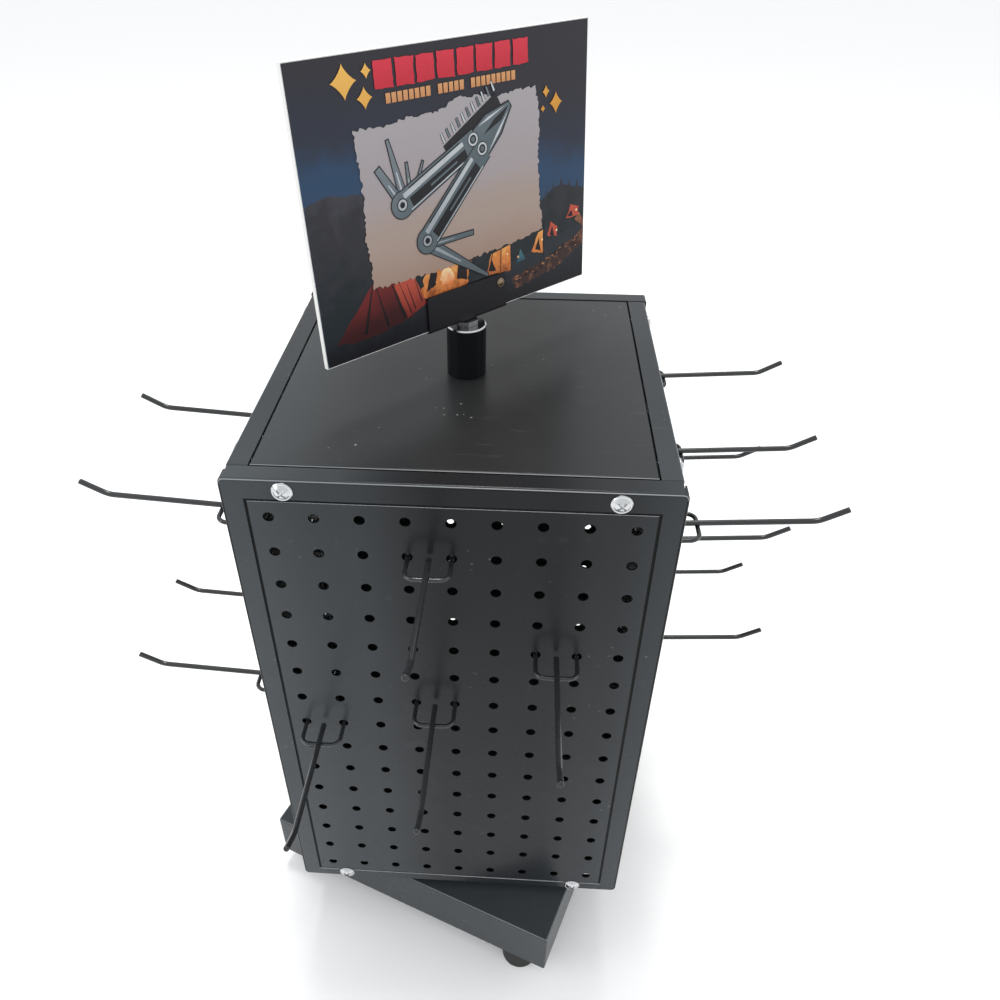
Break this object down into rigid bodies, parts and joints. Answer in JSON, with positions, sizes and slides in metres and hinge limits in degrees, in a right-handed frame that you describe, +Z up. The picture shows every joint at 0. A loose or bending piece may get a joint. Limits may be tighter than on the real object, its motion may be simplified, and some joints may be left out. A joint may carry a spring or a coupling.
{
  "type": "rotating display rack",
  "caption": "Square perforated-steel tower that turns on a low square base, with wire hooks hung in its peg holes and a swivelling clip on top holding a sign board.",
  "frame": {"origin": "on the floor under the feet, on the tower's turning axis", "axes": "+Z up along the turning axis, -Y out of the front panel, +X out of the right panel"},
  "size_m": [0.4582, 0.3946, 0.6732],
  "materials": {
    "painted_steel": "satin black paint",
    "painted_post": "satin black paint",
    "painted_clip": "satin black paint",
    "hook_wire": "satin black coating",
    "bright_steel": "bright zinc plating",
    "zinc_steel": "zinc plating",
    "ball_steel": "polished",
    "cage_plastic": "matte",
    "rubber": "matte black",
    "foam_board": "white foam board",
    "printed_sheet": "printed, satin"
  },
  "bodies": {
    "base": {"base_shell": "painted_steel", "foot_1": "rubber", "foot_2": "rubber", "foot_3": "rubber", "foot_4": "rubber", "foot_screws": "zinc_steel", "lower_race": "zinc_steel", "bearing_balls": "ball_steel", "ball_cage": "cage_plastic", "lower_race_screws": "zinc_steel", "pivot_bolt": "zinc_steel", "pivot_washer": "zinc_steel", "pivot_nut": "zinc_steel"},
    "tower": {"front_panel": "painted_steel", "right_panel": "painted_steel", "rear_panel": "painted_steel", "left_panel": "painted_steel", "top_tray": "painted_steel", "bottom_tray": "painted_steel", "panel_screws": "bright_steel", "rivet_nuts": "zinc_steel", "upper_race": "zinc_steel", "upper_race_screws": "zinc_steel", "sign_post": "painted_post", "post_bolt": "zinc_steel", "post_washer": "zinc_steel"},
    "sign": {"clip_stud": "bright_steel", "sign_clip": "painted_clip", "clip_screw": "bright_steel", "sign_board": "foam_board", "sign_print": "printed_sheet"},
    "hook_front_1": {"hook_front_1": "hook_wire"},
    "hook_front_2": {"hook_front_2": "hook_wire"},
    "hook_front_3": {"hook_front_3": "hook_wire"},
    "hook_front_4": {"hook_front_4": "hook_wire"},
    "hook_right_1": {"hook_right_1": "hook_wire"},
    "hook_right_2": {"hook_right_2": "hook_wire"},
    "hook_right_3": {"hook_right_3": "hook_wire"},
    "hook_right_4": {"hook_right_4": "hook_wire"},
    "hook_right_5": {"hook_right_5": "hook_wire"},
    "hook_right_6": {"hook_right_6": "hook_wire"},
    "hook_right_7": {"hook_right_7": "hook_wire"},
    "hook_left_1": {"hook_left_1": "hook_wire"},
    "hook_left_2": {"hook_left_2": "hook_wire"},
    "hook_left_3": {"hook_left_3": "hook_wire"},
    "hook_left_4": {"hook_left_4": "hook_wire"}
  },
  "joints": [
    {"name": "tower_spin", "type": "hinge", "parent": "base", "child": "tower", "pos_m": [0, 0, 0.07325], "axis": [0, 0, 1], "continuous": true},
    {"name": "sign_swivel", "type": "hinge", "parent": "tower", "child": "sign", "pos_m": [0, 0, 0.5154], "axis": [0, 0, 1], "continuous": true},
    {"name": "hook_front_1_tilt", "type": "hinge", "parent": "tower", "child": "hook_front_1", "pos_m": [-0.0127, -0.1258, 0.4279], "axis": [-1, 0, 0], "range_deg": [0, 25]},
    {"name": "hook_front_2_tilt", "type": "hinge", "parent": "tower", "child": "hook_front_2", "pos_m": [0.0635, -0.1258, 0.3517], "axis": [-1, 0, 0], "range_deg": [0, 25]},
    {"name": "hook_front_3_tilt", "type": "hinge", "parent": "tower", "child": "hook_front_3", "pos_m": [-0.0127, -0.1258, 0.3009], "axis": [-1, 0, 0], "range_deg": [0, 25]},
    {"name": "hook_front_4_tilt", "type": "hinge", "parent": "tower", "child": "hook_front_4", "pos_m": [-0.0889, -0.1258, 0.2755], "axis": [-1, 0, 0], "range_deg": [0, 25]},
    {"name": "hook_right_1_tilt", "type": "hinge", "parent": "tower", "child": "hook_right_1", "pos_m": [0.1243, -0.0889, 0.4279], "axis": [0, -1, 0], "range_deg": [0, 25]},
    {"name": "hook_right_2_tilt", "type": "hinge", "parent": "tower", "child": "hook_right_2", "pos_m": [0.1243, -0.0127, 0.4279], "axis": [0, -1, 0], "range_deg": [0, 25]},
    {"name": "hook_right_3_tilt", "type": "hinge", "parent": "tower", "child": "hook_right_3", "pos_m": [0.1243, 0.0889, 0.4279], "axis": [0, -1, 0], "range_deg": [0, 25]},
    {"name": "hook_right_4_tilt", "type": "hinge", "parent": "tower", "child": "hook_right_4", "pos_m": [0.1243, -0.0127, 0.3517], "axis": [0, -1, 0], "range_deg": [0, 25]},
    {"name": "hook_right_5_tilt", "type": "hinge", "parent": "tower", "child": "hook_right_5", "pos_m": [0.1243, 0.0889, 0.3517], "axis": [0, -1, 0], "range_deg": [0, 25]},
    {"name": "hook_right_6_tilt", "type": "hinge", "parent": "tower", "child": "hook_right_6", "pos_m": [0.1243, -0.0127, 0.2501], "axis": [0, -1, 0], "range_deg": [0, 25]},
    {"name": "hook_right_7_tilt", "type": "hinge", "parent": "tower", "child": "hook_right_7", "pos_m": [0.1243, 0.0635, 0.2501], "axis": [0, -1, 0], "range_deg": [0, 25]},
    {"name": "hook_left_1_tilt", "type": "hinge", "parent": "tower", "child": "hook_left_1", "pos_m": [-0.1243, 0.0127, 0.4279], "axis": [0, 1, 0], "range_deg": [0, 25]},
    {"name": "hook_left_2_tilt", "type": "hinge", "parent": "tower", "child": "hook_left_2", "pos_m": [-0.1243, -0.0889, 0.4279], "axis": [0, 1, 0], "range_deg": [0, 25]},
    {"name": "hook_left_3_tilt", "type": "hinge", "parent": "tower", "child": "hook_left_3", "pos_m": [-0.1243, -0.0127, 0.2755], "axis": [0, 1, 0], "range_deg": [0, 25]},
    {"name": "hook_left_4_tilt", "type": "hinge", "parent": "tower", "child": "hook_left_4", "pos_m": [-0.1243, -0.0889, 0.2755], "axis": [0, 1, 0], "range_deg": [0, 25]}
  ]
}
